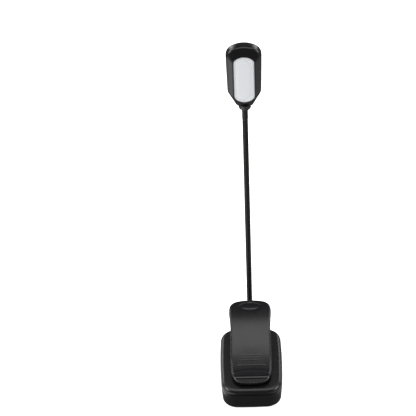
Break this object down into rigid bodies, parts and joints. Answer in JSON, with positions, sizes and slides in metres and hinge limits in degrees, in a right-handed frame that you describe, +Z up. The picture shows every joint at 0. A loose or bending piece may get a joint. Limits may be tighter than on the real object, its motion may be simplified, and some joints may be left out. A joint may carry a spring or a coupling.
{
  "type": "clip on reading lamp",
  "caption": "Battery reading lamp: a box base with a sprung clip on top, a bendable metal neck from its rear wall and a slim head with a milky light window.",
  "frame": {"origin": "centre of the base's underside, on the surface that its rubber strips stand on", "axes": "+Z up, along the upright neck; -Y is the front, where the clip's jaw points and the window faces; +X is the side with the slide switch; X = 0 is the plane of symmetry of the outside"},
  "size_m": [0.05, 0.1101, 0.2874],
  "materials": {
    "shell_black": "satin moulded ABS, fine texture",
    "clip_gloss_black": "gloss moulded ABS",
    "head_black": "semi-gloss moulded ABS",
    "knob_black": "satin",
    "rubber_black": "matt soft rubber",
    "neck_black": "black coated steel hose, fine spiral ridges",
    "screw_steel": "plain zinc plated",
    "pin_steel": "ground",
    "spring_steel": "drawn wire",
    "contact_plate": "nickel plated",
    "cell_jacket": "plain printed foil without marks",
    "board_green": "solder mask over glass fibre",
    "board_white": "white solder mask",
    "chip_black": "moulded epoxy",
    "led_yellow": "phosphor in silicone",
    "wire_insulation": "soft PVC",
    "diffuser_white": "milky polycarbonate",
    "reflector_white": "white ABS"
  },
  "bodies": {
    "base": {"base_lower_shell": "shell_black", "base_upper_shell": "shell_black", "base_grip_pad": "rubber_black", "base_screws": "screw_steel", "rubber_strips": "rubber_black", "battery_cell_1": "cell_jacket", "battery_cell_2": "cell_jacket", "battery_cell_3": "cell_jacket", "battery_springs": "spring_steel", "battery_plates": "contact_plate", "control_board": "board_green", "board_parts": "chip_black", "switch_body": "chip_black", "base_leads": "wire_insulation", "hinge_pin": "pin_steel", "clip_spring": "spring_steel", "neck_gland": "rubber_black", "neck_anchor": "contact_plate", "anchor_screws": "screw_steel", "neck_link_00": "neck_black", "neck_wire_00": "wire_insulation"},
    "battery_door": {"battery_door": "shell_black"},
    "switch_knob": {"switch_knob": "knob_black"},
    "clip": {"clip_lever": "clip_gloss_black", "jaw_pad": "rubber_black"},
    "neck_1": {"neck_link_01": "neck_black", "neck_wire_01": "wire_insulation"},
    "neck_2": {"neck_link_02": "neck_black", "neck_wire_02": "wire_insulation"},
    "neck_3": {"neck_link_03": "neck_black", "neck_wire_03": "wire_insulation"},
    "neck_4": {"neck_link_04": "neck_black", "neck_wire_04": "wire_insulation"},
    "neck_5": {"neck_link_05": "neck_black", "neck_wire_05": "wire_insulation"},
    "neck_6": {"neck_link_06": "neck_black", "neck_wire_06": "wire_insulation"},
    "neck_7": {"neck_link_07": "neck_black", "neck_wire_07": "wire_insulation"},
    "neck_8": {"neck_link_08": "neck_black", "neck_wire_08": "wire_insulation"},
    "head": {"neck_link_09": "neck_black", "neck_wire_09": "wire_insulation", "neck_ferrule": "neck_black", "head_collar": "shell_black", "head_rear_shell": "head_black", "head_bezel": "head_black", "lens_diffuser": "diffuser_white", "reflector": "reflector_white", "led_board": "board_white", "led_chips": "led_yellow", "head_screws": "screw_steel", "head_leads": "wire_insulation"}
  },
  "joints": [
    {"name": "battery_door_lift", "type": "slide", "parent": "base", "child": "battery_door", "axis": [0, 0, -1], "range_m": [0, 0.02]},
    {"name": "switch_slide", "type": "slide", "parent": "base", "child": "switch_knob", "axis": [0, -1, 0], "range_m": [0, 0.0032]},
    {"name": "clip_hinge", "type": "hinge", "parent": "base", "child": "clip", "pos_m": [0, 0.015, 0.025], "axis": [-1, 0, 0], "range_deg": [0, 30], "stiffness_Nm_per_rad": 0.19, "springref_deg": -45.84, "deforming": ["clip_spring"]},
    {"name": "neck_bend_1", "type": "hinge", "parent": "base", "child": "neck_1", "pos_m": [0, 0.06068, 0.01782], "axis": [1, 0, 0], "range_deg": [-30, 30]},
    {"name": "neck_bend_2", "type": "hinge", "parent": "neck_1", "child": "neck_2", "pos_m": [0, 0.068, 0.04], "axis": [0, 1, 0], "range_deg": [-25, 25]},
    {"name": "neck_bend_3", "type": "hinge", "parent": "neck_2", "child": "neck_3", "pos_m": [0, 0.068, 0.062], "axis": [-1, 0, 0], "range_deg": [-30, 30]},
    {"name": "neck_bend_4", "type": "hinge", "parent": "neck_3", "child": "neck_4", "pos_m": [0, 0.068, 0.084], "axis": [0, -1, 0], "range_deg": [-25, 25]},
    {"name": "neck_bend_5", "type": "hinge", "parent": "neck_4", "child": "neck_5", "pos_m": [0, 0.068, 0.106], "axis": [1, 0, 0], "range_deg": [-30, 30]},
    {"name": "neck_bend_6", "type": "hinge", "parent": "neck_5", "child": "neck_6", "pos_m": [0, 0.068, 0.128], "axis": [0, 1, 0], "range_deg": [-25, 25]},
    {"name": "neck_bend_7", "type": "hinge", "parent": "neck_6", "child": "neck_7", "pos_m": [0, 0.068, 0.15], "axis": [1, 0, 0], "range_deg": [-30, 30]},
    {"name": "neck_bend_8", "type": "hinge", "parent": "neck_7", "child": "neck_8", "pos_m": [0, 0.068, 0.172], "axis": [0, -1, 0], "range_deg": [-25, 25]},
    {"name": "neck_bend_9", "type": "hinge", "parent": "neck_8", "child": "head", "pos_m": [0, 0.068, 0.194], "axis": [1, 0, 0], "range_deg": [-30, 30]}
  ]
}
